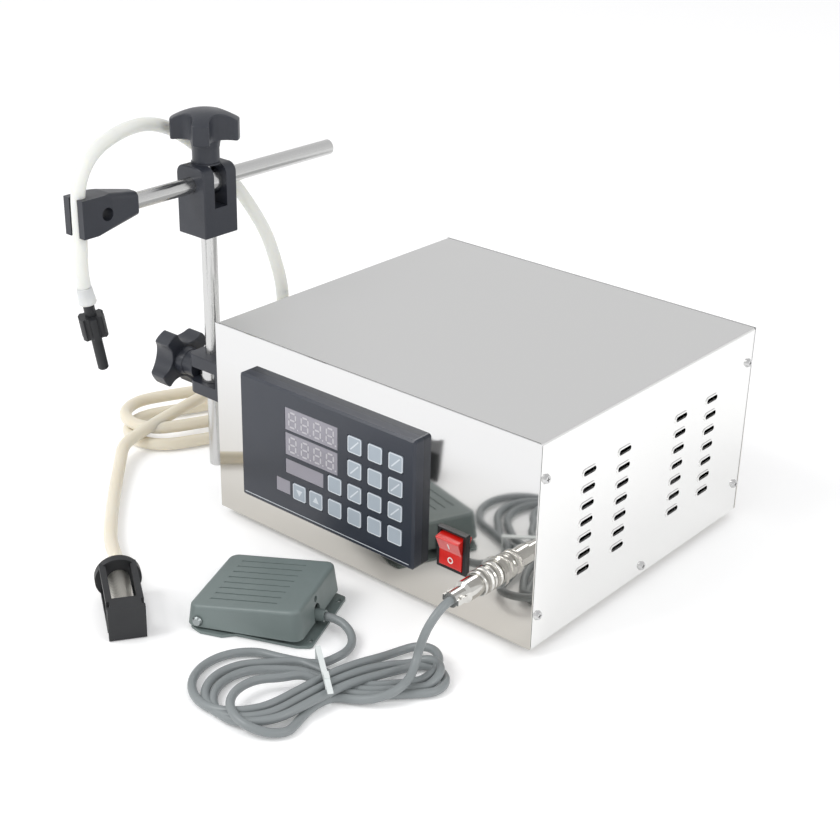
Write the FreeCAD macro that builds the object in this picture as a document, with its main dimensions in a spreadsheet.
import FreeCAD, Part
import math
import os
import Sketcher

# A bench-top liquid filling machine: a sheet-steel cabinet with a pump, a keypad, a clamp stand
# that holds the outlet hose and nozzle, a coiled inlet hose with a strainer and a foot pedal.
# Millimetres, +Z up. The origin is on the table under the middle of the cabinet, +Y to the rear.

V = FreeCAD.Vector
SIZES = {
    # cabinet
    "cabinet_width": 292, "cabinet_depth": 264, "cabinet_height": 150, "sheet": 1.2,
    "sheet_gap": 0.3, "cover_gap": 0.5, "bend_radius": 2, "flange_width": 12, "tab_length": 40,
    "foot_height": 6, "foot_radius": 12, "foot_inset": 32,
    "screw_radius": 1.6, "screw_head_radius": 3.5, "screw_head_height": 2, "screw_reach": 6,
    "screw_clearance": 0.1, "screw_side_inset": 7, "screw_low": 24, "screw_high": 124,
    "screw_bottom": 6.5,
    "louvre_length": 14, "louvre_height": 4, "louvre_lip": 1.2, "louvre_lip_height": 0.5,
    "louvre_pitch": 12.33, "louvre_rows": 7, "louvre_low": 37, "louvre_first": -76,
    "louvre_column_pitch": 41, "louvre_group_pitch": 111.5,
    # keypad
    "panel_width": 165.3, "panel_height": 98, "panel_depth": 9, "panel_x": -30.2, "panel_z": 75,
    "panel_wall": 1.5, "panel_side": 2.4, "panel_bevel": 1.6, "panel_corner": 2.4,
    "key_size": 13.2, "key_pitch": 18.5, "key_first_x": -1, "key_top_z": 103.1,
    "key_gap": 0.2, "key_proud": 0.3, "key_flange": 0.9, "key_flange_width": 1, "key_travel": 0.4,
    "key_corner": 1.8, "arrow_x": -53.9, "arrow_pitch": 16.3, "dome_size": 6, "dome_height": 1.5,
    "play": 0.1, "board_thickness": 1.6, "board_margin": 0.5, "spacer_radius": 3,
    "display_x": -42.3, "display_width": 50.6, "display_height": 17.6, "display_z": 102.4,
    "display_pitch": 19.4, "counter_x": -49, "counter_width": 37, "counter_height": 11.4,
    "counter_z": 65.3, "speed_x": -70.2, "speed_width": 13.9, "speed_height": 11.2,
    "speed_z": 48, "display_sunk": 0.3, "display_gap": 0.1,
    # rocker switch
    "switch_share": 0.547945, "switch_z": 50, "bezel_width": 25.6, "bezel_height": 31, "bezel_lip": 2.2,
    "bezel_wall": 1.5, "bezel_rim": 1.6, "bezel_depth": 18, "rocker_side_gap": 0.25,
    "rocker_half": 11.8, "rocker_face": 4, "rocker_back": 8, "rocker_tilt": 12, "pivot_depth": 1,
    "pivot_radius": 1.5, "pivot_reach": 0.9, "running_gap": 0.05,
    # pedal connector
    "socket_share": 0.791096, "socket_z": 47, "socket_flange_radius": 11, "socket_flange": 1.5,
    "barrel_radius": 8, "barrel_length": 10, "barrel_bore": 6.6, "socket_nut": 4,
    "socket_tail": 12, "plug_gap": 0.1, "ring_radius": 9, "ring_start": 1.8, "ring_end": 20,
    "plug_collar_radius": 7.9, "plug_collar_start": 10.3, "plug_collar_end": 14.8,
    "plug_radius": 7.4, "plug_end": 33, "plug_neck_radius": 5.2, "plug_tail": 46,
    "saddle_width": 13, "saddle_height": 4, "saddle_length": 9, "saddle_screw": 1.5,
    # mains inlet
    "inlet_inset": 54, "inlet_z": 44, "inlet_flange_width": 50, "inlet_flange_height": 27,
    "inlet_flange": 2.5, "inlet_body_width": 27.6, "inlet_body_height": 20, "inlet_body_depth": 19,
    "inlet_wall": 1.8, "inlet_floor": 3, "pin_width": 2, "pin_height": 4, "pin_length": 9,
    "pin_spacing": 7, "pin_rise": 3.5, "inlet_screw_spacing": 40,
    # pump and supply
    "pump_z": 38, "port_pitch": 44, "port_z": 42, "head_radius": 32, "head_gap": 5.2,
    "head_length": 46, "head_rim": 2, "motor_radius": 27, "motor_length": 74, "motor_foot_width": 56,
    "motor_foot_length": 50, "motor_foot_sheet": 3, "supply_x": 75, "supply_y": 62,
    "supply_width": 104, "supply_depth": 58, "supply_height": 38, "supply_post": 4,
    "port_shank_radius": 5.5, "port_hex": 9, "port_hex_length": 5, "port_barb": 3.7,
    "port_barb_length": 15, "barb_rise": 0.5, "barb_gap": 0.1,
    # clamp stand
    "rod_radius": 6, "rod_chamfer": 0.8, "stand_y": -97, "stand_gap": 42, "lower_clamp_z": 88,
    "stub_flange_radius": 13, "stub_flange": 3.5, "stub_in_block": 17.5, "stub_thread_radius": 5,
    "stub_nut": 8.5, "stub_nut_length": 5,
    "block_thickness": 29, "block_width": 32, "block_length": 52, "block_bore_height": 38.2,
    "blind_depth": 18.2, "slot_width": 12, "slot_floor": 21.5, "block_corner": 7,
    "block_edge": 1, "shank_radius": 4, "eye_radius": 10.4, "eye_gap": 0.3,
    "spacer_length": 12, "clamp_spacer_radius": 10, "washer_radius": 10.9, "washer": 1.2,
    "spacer_gap": 0.2, "knob_radius": 25, "knob_hub_radius": 10.3, "knob_hub_top_radius": 11.4,
    "knob_hub_height": 6.5, "knob_rim_low": 6, "knob_rim_high": 20.5, "knob_height": 27.6,
    "knob_dome_radius": 47.6, "scallop_radius": 13.2, "scallop_offset": 27, "knob_bore_depth": 20,
    "knob_round": 2.2, "knob_edge": 0.9, "lower_knob_turn": 45, "upper_knob_turn": 40,
    "mast_bottom": 9, "arm_z": 239, "arm_front": -182, "arm_rear": 31.5, "mast_top_gap": 0.2,
    # hose fork
    "fork_width": 20, "fork_height": 27, "fork_tip": -217.5, "fork_heel": -192,
    "boss_end": -167, "boss_radius": 8.6, "fork_hole_y": -196.6, "fork_hole_radius": 4.7,
    "groove_y": -213.2, "groove_radius": 5.4, "groove_mouth": 4.3, "fork_round": 4,
    "fork_edge": 0.8, "hose_radius": 5,
    # nozzle
    "nozzle_y": -211.3, "nozzle_z": 176, "nozzle_lean": 10.5, "nozzle_barb": 3.6,
    "nozzle_barb_length": 16, "nozzle_neck": 4, "nozzle_neck_length": 9.5,
    "nozzle_collar": 9.2, "nozzle_collar_length": 16.5, "nozzle_scallop": 2.6,
    "nozzle_spout": 3.8, "nozzle_spout_length": 27, "nozzle_bore": 2.3,
    # inlet hose and strainer
    "coil_x": -266, "coil_y": -27, "coil_turn": 64.7, "coil_length": 175, "coil_width": 82,
    "coil_band": 30, "coil_height": 29, "coil_round": 8,
    "strainer_x": -109.4, "strainer_y": -262.8, "strainer_turn": -33.5, "ring_outer": 16,
    "ring_width": 6, "strainer_length": 55.3, "cage_size": 25, "cage_bar": 4.2,
    "cage_end": 13, "cage_notch": 2, "cage_notch_length": 6, "mesh_radius": 7.6,
    "mesh_gap": 0.1, "strainer_barb_length": 11, "strainer_lift": 0.17,
    # foot pedal
    "pedal_x": -22.5, "pedal_y": -207.5, "pedal_turn": 22.5, "pedal_length": 83,
    "pedal_width": 76, "pedal_high": 28, "pedal_low": 17.5, "pedal_draft": 6, "pedal_wall": 2,
    "pedal_corner": 7, "corner_spare": 1.6, "pedal_edge": 2.6, "plate": 2,
    "plate_reach": 5.6, "plate_width": 65, "plate_inset": 2.5, "skirt_gap": 1.2, "pedal_press": 3, "pin_x": -32.5, "pin_z": 7.5,
    "pin_radius": 2.4, "pin_head_radius": 3.6, "pin_head": 1.6, "ear_sheet": 3,
    "ear_height": 12, "rib_height": 0.5, "rib_width": 1.6, "rib_pitch": 7.4, "rib_count": 8,
    "rib_length": 48, "tab_hole": 1.9, "hole_reach": 2.3, "tab_x": -22, "tab_out": 2.5,
    "gland_radius": 4.2, "gland_y": -6, "gland_length": 7, "gland_z": 9.5, "gland_wall": 4,
    "gland_notch": 5, "notch_spare": 0.5, "side_hole": 2.3, "side_hole_z": 21.4, "cable_radius": 2.9,
    "microswitch_length": 28, "microswitch_width": 10, "microswitch_height": 12,
    "plunger_radius": 1.5, "plunger_gap": 2.4, "switch_post": 3,
    # pedal cable hank
    "hank_x": 66, "hank_y": -243, "hank_turn": 52, "hank_length": 160, "hank_loop": 92,
    "hank_waist": 46, "hank_end": 52, "hank_height": 14, "hank_round": 3.5, "tie_width": 3.6,
    "tie_sheet": 1.2, "tie_gap": 0.3, "tie_head": 7, "tie_tail": 14,
}

doc = FreeCAD.newDocument("FillingMachine")
sheet = doc.addObject("Spreadsheet::Sheet", "Sizes")
for row, (alias, number) in enumerate(SIZES.items(), 1):
    sheet.set(f"A{row}", alias)
    sheet.set(f"B{row}", str(number))
    sheet.setAlias(f"B{row}", alias)
doc.recompute()


class Size:
    """A number together with the sheet expression that it comes from."""

    def __init__(self, value, text):
        self.value, self.text = value, text

    def __add__(self, other):
        other = size(other)
        return Size(self.value + other.value, f"({self.text} + {other.text})")

    def __sub__(self, other):
        other = size(other)
        return Size(self.value - other.value, f"({self.text} - {other.text})")

    def __mul__(self, other):
        other = size(other)
        return Size(self.value * other.value, f"{self.text} * {other.text}")

    def __truediv__(self, other):
        other = size(other)
        return Size(self.value / other.value, f"{self.text} / {other.text}")

    def __neg__(self):
        return Size(-self.value, f"(0 - {self.text})")

    def __radd__(self, other):
        return size(other) + self

    def __rsub__(self, other):
        return size(other) - self

    def __rmul__(self, other):
        return size(other) * self


class Sheet:
    """D.name is the size called name."""

    def __getattr__(self, name):
        return Size(float(SIZES[name]), f"Sizes.{name}")


D = Sheet()


def size(number):
    return number if isinstance(number, Size) else Size(float(number), f"({float(number)})")


def sine(angle):
    return Size(math.sin(math.radians(angle.value)), f"sin({angle.text})")


def cosine(angle):
    return Size(math.cos(math.radians(angle.value)), f"cos({angle.text})")


def bind(obj, prop, number):
    obj.setExpression(prop, size(number).text)


AXES = {"x": "1; 0; 0", "y": "0; 1; 0", "z": "0; 0; 1", "corner": "1; -1; -1"}
WAYS = {"+X": ("y", 90), "-X": ("y", -90), "+Y": ("x", -90), "-Y": ("x", 90), "+Z": ("z", 0),
        "-Z": ("x", 180)}


def placement(at, axis="z", angle=0):
    x, y, z = (size(c).text for c in at)
    return f"placement(vector({x}; {y}; {z}); rotation(vector({AXES[axis]}); {size(angle).text}))"


def place(obj, at, axis="z", angle=0):
    obj.setExpression("Placement", placement(at, axis, angle))
    return obj


counter = {}


def new(kind, name):
    counter[name] = counter.get(name, 0) + 1
    return doc.addObject(kind, f"{name}_{counter[name]}")


def box(name, x, y, z):
    """A box between the low and high ends given on each axis."""
    obj = new("Part::Box", name)
    for prop, (low, high) in zip(("Length", "Width", "Height"), (x, y, z)):
        bind(obj, prop, size(high) - low)
    return place(obj, (x[0], y[0], z[0]))


def cylinder(name, at, way, radius, length):
    obj = new("Part::Cylinder", name)
    bind(obj, "Radius", radius)
    bind(obj, "Height", length)
    return place(obj, at, *WAYS[way])


def cone(name, at, way, first, last, length):
    obj = new("Part::Cone", name)
    bind(obj, "Radius1", first)
    bind(obj, "Radius2", last)
    bind(obj, "Height", length)
    return place(obj, at, *WAYS[way])


def hexagon(name, at, way, circumradius, length):
    obj = new("Part::Prism", name)
    obj.Polygon = 6
    bind(obj, "Circumradius", circumradius)
    bind(obj, "Height", length)
    return place(obj, at, *WAYS[way])


def fuse(name, *parts):
    obj = new("Part::MultiFuse", name)
    obj.Shapes = list(parts)
    return obj


def cut(name, base, *tools):
    obj = new("Part::Cut", name)
    obj.Base = base
    obj.Tool = tools[0] if len(tools) == 1 else fuse(name + "_tools", *tools)
    return obj


def group(name, *parts):
    """Several separate solids that share one node."""
    obj = new("Part::Compound", name)
    obj.Links = list(parts)
    return obj


PIECES = []


def piece(obj, label):
    obj.Label = label
    PIECES.append(obj)
    return obj


def on(edge, **wanted):
    """True where the whole edge lies at the coordinates given."""
    b = edge.BoundBox
    spans = {"x": (b.XMin, b.XMax), "y": (b.YMin, b.YMax), "z": (b.ZMin, b.ZMax)}
    return all(abs(v - size(number).value) < 0.01 for axis, number in wanted.items()
               for v in spans[axis])


def upright(edge, axis):
    """True for a straight edge along the axis."""
    b = edge.BoundBox
    spans = {"x": b.XLength, "y": b.YLength, "z": b.ZLength}
    length = spans.pop(axis)
    return length > 0.01 and max(spans.values()) < 0.01


class Body:
    """A PartDesign body, built feature by feature."""

    def __init__(self, name):
        self.name = name
        self.body = new("PartDesign::Body", name)

    def add(self, kind, name):
        return self.body.newObject(kind, f"{self.name}_{name}")

    def datum(self, role):
        return next(f for f in self.body.Origin.OriginFeatures if f.Role == role)

    def sketch(self, name, plane, offset=0):
        sk = self.add("Sketcher::SketchObject", name)
        sk.AttachmentSupport = (self.datum(plane + "_Plane"), [""])
        sk.MapMode = "FlatFace"
        sk.setExpression("AttachmentOffset", placement((0, 0, offset)))
        return sk

    def feature(self, kind, name, profile, **sizes):
        f = self.add(kind, name)
        f.Profile = profile
        for prop, number in sizes.items():
            bind(f, prop, number)
        profile.Visibility = False
        return f

    def pad(self, name, profile, length, midplane=False, reverse=False):
        f = self.feature("PartDesign::Pad", name, profile, Length=length)
        if midplane:
            f.SideType = "Symmetric"
        f.Reversed = reverse
        return f

    def pocket(self, name, profile, length, reverse=False):
        f = self.feature("PartDesign::Pocket", name, profile, Length=length)
        f.Reversed = reverse
        return f

    def revolve(self, name, profile, axis="Z_Axis", groove=False):
        kind = "PartDesign::Groove" if groove else "PartDesign::Revolution"
        f = self.feature(kind, name, profile)
        f.ReferenceAxis = (self.datum(axis), [""])
        f.Angle = 360
        return f

    def edges(self, pick):
        doc.recompute()
        shape = self.body.Tip.Shape
        names = [f"Edge{i}" for i, e in enumerate(shape.Edges, 1) if pick(e)]
        if not names:
            raise RuntimeError(f"{self.name}: no edge picked")
        return names

    def round(self, name, radius, pick):
        names, base = self.edges(pick), self.body.Tip
        f = self.add("PartDesign::Fillet", name)
        f.Base = (base, names)
        bind(f, "Radius", radius)
        return f

    def bevel(self, name, width, pick):
        names, base = self.edges(pick), self.body.Tip
        f = self.add("PartDesign::Chamfer", name)
        f.Base = (base, names)
        bind(f, "Size", width)
        return f

    def row(self, name, originals, axis, pitch, count):
        doc.recompute()
        f = self.add("PartDesign::LinearPattern", name)
        f.Originals = list(originals)
        self.spread(f, axis, pitch, count)
        self.body.Tip = f
        return f

    def spread(self, f, axis, pitch, count):
        f.Direction = (self.datum(axis), [""])
        bind(f, "Length", size(pitch) * (size(count) - 1))
        bind(f, "Occurrences", count)

    def grid(self, name, originals, rows):
        """Repeats the originals along several rows of (axis, pitch, count)."""
        doc.recompute()
        f = self.add("PartDesign::MultiTransform", name)
        f.Originals = list(originals)
        steps = []
        for i, (axis, pitch, count) in enumerate(rows):
            step = self.add("PartDesign::LinearPattern", f"{name}_row{i}")
            self.spread(step, axis, pitch, count)
            steps.append(step)
        f.Transformations = steps
        self.body.Tip = f
        return f

    def mirror(self, name, originals, plane):
        doc.recompute()
        f = self.add("PartDesign::Mirrored", name)
        f.Originals = list(originals)
        f.MirrorPlane = (self.datum(plane + "_Plane"), [""])
        self.body.Tip = f
        return f

    def around(self, name, originals, count, axis="Z_Axis"):
        doc.recompute()
        f = self.add("PartDesign::PolarPattern", name)
        f.Originals = list(originals)
        f.Axis = (self.datum(axis), [""])
        f.Angle = 360
        f.Occurrences = count
        self.body.Tip = f
        return f

    def removes(self, feature):
        """Stops the build where a cut took nothing away."""
        doc.recompute()
        before = feature.BaseFeature.Shape.Volume
        if before - feature.Shape.Volume < 1e-6:
            raise RuntimeError(f"{feature.Name} cuts nothing")
        return feature


def pin(sk, prop, geometry, point, number):
    """Holds one coordinate of a sketch point at a size."""
    number = size(number)
    c = sk.addConstraint(Sketcher.Constraint(prop, -1, 1, geometry, point, number.value))
    sk.setExpression(f"Constraints[{c}]", number.text)


def outline(sk, points, arcs=None):
    """A closed loop through the points; arcs maps a point to the radius of the side after it."""
    arcs = arcs or {}
    ends = []
    for i, (x, y) in enumerate(points):
        a = V(size(x).value, size(y).value)
        after = points[(i + 1) % len(points)]
        b = V(size(after[0]).value, size(after[1]).value)
        if i in arcs:
            r = size(arcs[i]).value
            middle, across = (a + b) * 0.5, b - a
            rise = math.sqrt(max(r * r - across.Length ** 2 / 4, 0))
            normal = V(-across.y, across.x).normalize() * (rise if r > 0 else -rise)
            centre = middle + normal
            first, last = (a, b) if r > 0 else (b, a)
            start = math.atan2(first.y - centre.y, first.x - centre.x)
            stop = math.atan2(last.y - centre.y, last.x - centre.x)
            circle_ = Part.Circle(centre, V(0, 0, 1), abs(r))
            g = sk.addGeometry(Part.ArcOfCircle(circle_, start, stop), False)
            ends.append((g, 1, 2) if r > 0 else (g, 2, 1))
        else:
            ends.append((sk.addGeometry(Part.LineSegment(a, b), False), 1, 2))
    for i, (g, first, last) in enumerate(ends):
        after = ends[(i + 1) % len(ends)]
        sk.addConstraint(Sketcher.Constraint("Coincident", g, last, after[0], after[1]))
        pin(sk, "DistanceX", g, first, points[i][0])
        pin(sk, "DistanceY", g, first, points[i][1])
        if i in arcs:
            radius = size(arcs[i])
            radius = radius if radius.value > 0 else -radius
            c = sk.addConstraint(Sketcher.Constraint("Radius", g, radius.value))
            sk.setExpression(f"Constraints[{c}]", radius.text)


def rectangle(sk, x, y, width, height):
    """A rectangle about a middle."""
    x, y, a, b = size(x), size(y), size(width) / 2, size(height) / 2
    outline(sk, [(x - a, y - b), (x + a, y - b), (x + a, y + b), (x - a, y + b)])


def circle(sk, x, y, radius):
    x, y, radius = size(x), size(y), size(radius)
    g = sk.addGeometry(Part.Circle(V(x.value, y.value), V(0, 0, 1), radius.value), False)
    pin(sk, "DistanceX", g, 3, x)
    pin(sk, "DistanceY", g, 3, y)
    c = sk.addConstraint(Sketcher.Constraint("Radius", g, radius.value))
    sk.setExpression(f"Constraints[{c}]", radius.text)


def slot(sk, x, y, length, height):
    """An obround, long side across."""
    x, y, r = size(x), size(y), size(height) / 2
    half = size(length) / 2 - r
    right = V((x + half).value, y.value)
    left = V((x - half).value, y.value)
    up = V(0, r.value)
    turn = math.pi / 2
    g = [sk.addGeometry(shape, False) for shape in (
        Part.ArcOfCircle(Part.Circle(right, V(0, 0, 1), r.value), -turn, turn),
        Part.LineSegment(right + up, left + up),
        Part.ArcOfCircle(Part.Circle(left, V(0, 0, 1), r.value), turn, 3 * turn),
        Part.LineSegment(left - up, right - up))]
    for i in range(4):
        sk.addConstraint(Sketcher.Constraint("Tangent", g[i], 2, g[(i + 1) % 4], 1))
    for arc, cx in ((g[0], x + half), (g[2], x - half)):
        pin(sk, "DistanceX", arc, 3, cx)
        pin(sk, "DistanceY", arc, 3, y)
        c = sk.addConstraint(Sketcher.Constraint("Radius", arc, r.value))
        sk.setExpression(f"Constraints[{c}]", r.text)


BASE = D.foot_height
TOP = BASE + D.cabinet_height
HALF_W = D.cabinet_width / 2
HALF_D = D.cabinet_depth / 2
INNER_W = HALF_W - D.sheet - D.sheet_gap
SWITCH_X, SOCKET_X = HALF_W * D.switch_share, HALF_W * D.socket_share
INLET_X = HALF_W - D.inlet_inset
STAND_X = -(HALF_W + D.stand_gap)
ARM_Z = BASE + D.arm_z
LOWER_Z = BASE + D.lower_clamp_z


def side_screws():
    """(y, z) of the cover screws on each side."""
    y = HALF_D - D.screw_side_inset
    return [(sy, BASE + z) for sy in (-y, y) for z in (D.screw_low, D.screw_high)] + [
        (size(0), BASE + D.screw_bottom)]


def port_points():
    """(y, z) of the outlet and the inlet port on the left side."""
    return [(-D.port_pitch / 2, BASE + D.port_z), (D.port_pitch / 2, BASE + D.port_z)]


def make_cover():
    b = Body("cover")
    w, t = HALF_W, D.sheet
    sk = b.sketch("profile", "XZ")
    outline(sk, [(-w, BASE), (-w + t, BASE), (-w + t, TOP - t), (w - t, TOP - t), (w - t, BASE),
                 (w, BASE), (w, TOP), (-w, TOP)])
    b.pad("sheet", sk, D.cabinet_depth - D.sheet * 2 - D.cover_gap * 2, midplane=True)
    b.round("outer_bend", D.bend_radius,
            lambda e: on(e, x=w, z=TOP) or on(e, x=-w, z=TOP))
    b.round("inner_bend", D.bend_radius - t,
            lambda e: on(e, x=w - t, z=TOP - t) or on(e, x=t - w, z=TOP - t))
    sk = b.sketch("screw_circles", "YZ", w + 1)
    for y, z in side_screws():
        circle(sk, y, z, D.screw_radius + D.screw_clearance)
    b.removes(b.pocket("screw_holes", sk, D.cabinet_width + 2))
    sk = b.sketch("port_circles", "YZ", -w - 1)
    for y, z in port_points():
        circle(sk, y, z, D.port_shank_radius + D.play)
    circle(sk, D.stand_y, LOWER_Z, D.stub_thread_radius + D.play)
    b.removes(b.pocket("port_holes", sk, t + 2, reverse=True))
    low = BASE + D.louvre_low
    sk = b.sketch("lip_outline", "YZ", w)
    lip = D.louvre_lip * 2
    slot(sk, D.louvre_first, low, D.louvre_length + lip, D.louvre_height + lip)
    raised = b.pad("lip", sk, D.louvre_lip_height)
    sk = b.sketch("slot_outline", "YZ", w + D.louvre_lip_height)
    slot(sk, D.louvre_first, low, D.louvre_length, D.louvre_height)
    opening = b.removes(b.pocket("louvre", sk, D.louvre_lip_height + t + 1))
    b.grid("louvres", (raised, opening), (
        ("Y_Axis", D.louvre_column_pitch, 2), ("Y_Axis", D.louvre_group_pitch, 2),
        ("Z_Axis", D.louvre_pitch, D.louvre_rows)))
    return piece(b.body, "cover")


def make_chassis():
    b = Body("chassis")
    t, w, d, f = D.sheet, INNER_W, HALF_D, D.flange_width
    sk = b.sketch("pan_profile", "YZ")
    outline(sk, [(-d, BASE), (d, BASE), (d, TOP), (d - t, TOP), (d - t, BASE + t),
                 (t - d, BASE + t), (t - d, TOP), (-d, TOP)])
    b.pad("pan", sk, w * 2, midplane=True)
    for name, offset in (("front", d - t), ("rear", -d)):
        sk = b.sketch(name + "_outline", "XZ", offset)
        rectangle(sk, 0, (BASE + TOP) / 2, D.cabinet_width, D.cabinet_height)
        b.pad(name, sk, t)
    high = TOP - t - D.sheet_gap
    sk = b.sketch("side_flange_outline", "YZ", w - t)
    for s in (-1, 1):
        inner, outer = (d - t - f) * s, (d - t) * s
        outline(sk, [(inner, BASE + t), (outer, BASE + t), (outer, high), (inner, high)])
    tab = D.tab_length / 2
    outline(sk, [(-tab, BASE + t), (tab, BASE + t), (tab, BASE + f), (-tab, BASE + f)])
    side = b.pad("side_flanges", sk, t)
    b.mirror("left_flanges", (side,), "YZ")
    sk = b.sketch("top_flange_outline", "XY", high - t)
    for s in (-1, 1):
        inner, outer = (d - t - f) * s, (d - t) * s
        outline(sk, [(t - w, inner), (w - t, inner), (w - t, outer), (t - w, outer)])
    b.pad("top_flanges", sk, t)
    sk = b.sketch("front_openings", "XZ", d)
    rectangle(sk, SWITCH_X, BASE + D.switch_z, D.bezel_width - D.bezel_rim * 2 + D.play * 2,
              D.bezel_height - D.bezel_rim * 2 + D.play * 2)
    circle(sk, SOCKET_X, BASE + D.socket_z, D.barrel_radius + D.play)
    rectangle(sk, D.panel_x, BASE + D.panel_z, D.panel_width / 3, D.panel_height / 4)
    b.removes(b.pocket("front_cuts", sk, t + 1))
    sk = b.sketch("rear_openings", "XZ", -d)
    rectangle(sk, INLET_X, BASE + D.inlet_z, D.inlet_body_width + D.play * 2,
              D.inlet_body_height + D.play * 2)
    b.removes(b.pocket("rear_cuts", sk, t + 1, reverse=True))
    sk = b.sketch("thread_circles", "YZ", w + 1)
    for y, z in side_screws():
        circle(sk, y, z, D.screw_radius + D.screw_clearance / 2)
    b.removes(b.pocket("thread_holes", sk, w * 2 + 2))
    b.round("bottom_bends", D.bend_radius / 2, lambda e: upright(e, "x") and (
        on(e, y=-d, z=BASE) or on(e, y=d, z=BASE)))
    return piece(b.body, "chassis")


def make_screws():
    parts = []
    for s, out, into in ((1, "+X", "-X"), (-1, "-X", "+X")):
        for y, z in side_screws():
            head = cone("screw_head", (HALF_W * s, y, z), out, D.screw_head_radius,
                        D.screw_head_radius * 0.75, D.screw_head_height)
            shank = cylinder("screw_shank", (HALF_W * s, y, z), into, D.screw_radius,
                             D.screw_reach)
            parts.append(fuse("screw", head, shank))
    return piece(group("cover_screws", *parts), "cover_screws")


def make_feet():
    parts = []
    for sx in (-1, 1):
        for sy in (-1, 1):
            at = ((HALF_W - D.foot_inset) * sx, (HALF_D - D.foot_inset) * sy, size(0))
            foot = cone("foot", at, "+Z", D.foot_radius * 0.82, D.foot_radius, D.foot_height)
            hollow = cylinder("foot_hollow", at, "+Z", D.foot_radius / 3, D.foot_height / 2)
            parts.append(cut("foot_ring", foot, hollow))
    return piece(group("feet", *parts), "feet")


def key_points():
    """The middle (x, z) of each of the sixteen keys."""
    points = {}
    for row in range(4):
        for column in range(3):
            points[f"key_{row + 1}{column + 2}"] = (
                D.key_first_x + D.key_pitch * column, BASE + D.key_top_z - D.key_pitch * row)
    for row in (2, 3):
        points[f"key_{row + 1}1"] = (
            D.key_first_x - D.key_pitch, BASE + D.key_top_z - D.key_pitch * row)
    for i, name in enumerate(("key_down", "key_up")):
        points[name] = (D.arrow_x + D.arrow_pitch * i, BASE + D.key_top_z - D.key_pitch * 3)
    return points


def windows():
    """(x, z, width, height) of the four display windows."""
    wide = (D.display_width, D.display_height)
    return [
        (D.display_x, BASE + D.display_z, *wide),
        (D.display_x, BASE + D.display_z - D.display_pitch, *wide),
        (D.counter_x, BASE + D.counter_z, D.counter_width, D.counter_height),
        (D.speed_x, BASE + D.speed_z, D.speed_width, D.speed_height)]


# depths on the front of the machine, measured out from the cabinet's middle plane
PANEL_FRONT = HALF_D + D.panel_depth
FLANGE_FRONT = PANEL_FRONT - D.panel_wall - D.play
FLANGE_BACK = FLANGE_FRONT - D.key_flange
DOME_FRONT = FLANGE_BACK - D.key_travel - D.play
BOARD_FRONT = DOME_FRONT - D.dome_height
BOARD_BACK = BOARD_FRONT - D.board_thickness


def make_panel():
    b = Body("panel")
    x, z = D.panel_x, BASE + D.panel_z
    sk = b.sketch("outline", "XZ", HALF_D)
    rectangle(sk, x, z, D.panel_width, D.panel_height)
    b.pad("block", sk, D.panel_depth)
    b.round("corners", D.panel_corner, lambda e: upright(e, "y"))
    b.bevel("front_bevel", D.panel_bevel, lambda e: on(e, y=-PANEL_FRONT))
    sk = b.sketch("cavity_outline", "XZ", HALF_D)
    rectangle(sk, x, z, D.panel_width - D.panel_side * 2, D.panel_height - D.panel_side * 2)
    b.removes(b.pocket("cavity", sk, D.panel_depth - D.panel_wall, reverse=True))
    sk = b.sketch("opening_outlines", "XZ", PANEL_FRONT)
    for kx, kz in key_points().values():
        rectangle(sk, kx, kz, D.key_size, D.key_size)
    for wx, wz, width, height in windows():
        rectangle(sk, wx, wz, width, height)
    b.removes(b.pocket("openings", sk, D.panel_wall + 1))
    return piece(b.body, "panel_housing")


def make_displays():
    parts = []
    for x, z, width, height in windows():
        w, h = width / 2 - D.display_gap, height / 2 - D.display_gap
        parts.append(box("display", (x - w, x + w), (-(PANEL_FRONT - D.display_sunk),
                                                     -BOARD_FRONT), (z - h, z + h)))
    return piece(group("displays", *parts), "displays")


def make_key(name, x, z):
    """A key cap: local +Z points out of the panel, z = 0 at the back of its flange."""
    b = Body(name)
    cap = D.key_size - D.key_gap * 2
    sk = b.sketch("cap_outline", "XY")
    rectangle(sk, 0, 0, cap, cap)
    height = D.key_flange + D.play + D.panel_wall + D.key_proud
    b.pad("cap", sk, height)
    b.round("cap_corners", D.key_corner, lambda e: upright(e, "z"))
    b.round("cap_edge", D.key_proud, lambda e: on(e, z=height))
    sk = b.sketch("flange_outline", "XY")
    rectangle(sk, 0, 0, D.key_size + D.key_flange_width * 2, D.key_size + D.key_flange_width * 2)
    b.pad("flange", sk, D.key_flange)
    place(b.body, (x, -FLANGE_BACK, z), "x", 90)
    return piece(b.body, name)


def make_board():
    x, z = D.panel_x, BASE + D.panel_z
    w = D.panel_width / 2 - D.panel_side - D.board_margin
    h = D.panel_height / 2 - D.panel_side - D.board_margin
    parts = [box("board", (x - w, x + w), (-BOARD_FRONT, -BOARD_BACK), (z - h, z + h))]
    half = D.dome_size / 2
    for kx, kz in key_points().values():
        parts.append(box("dome", (kx - half, kx + half), (-DOME_FRONT, -BOARD_FRONT),
                         (kz - half, kz + half)))
    for sx in (-1, 1):
        for sz in (-1, 1):
            at = (x + (w - D.spacer_radius * 2) * sx, -HALF_D, z + (h - D.spacer_radius * 2) * sz)
            parts.append(cylinder("spacer", at, "-Y", D.spacer_radius, BOARD_BACK - HALF_D))
    return piece(fuse("control_board", *parts), "control_board")


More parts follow.
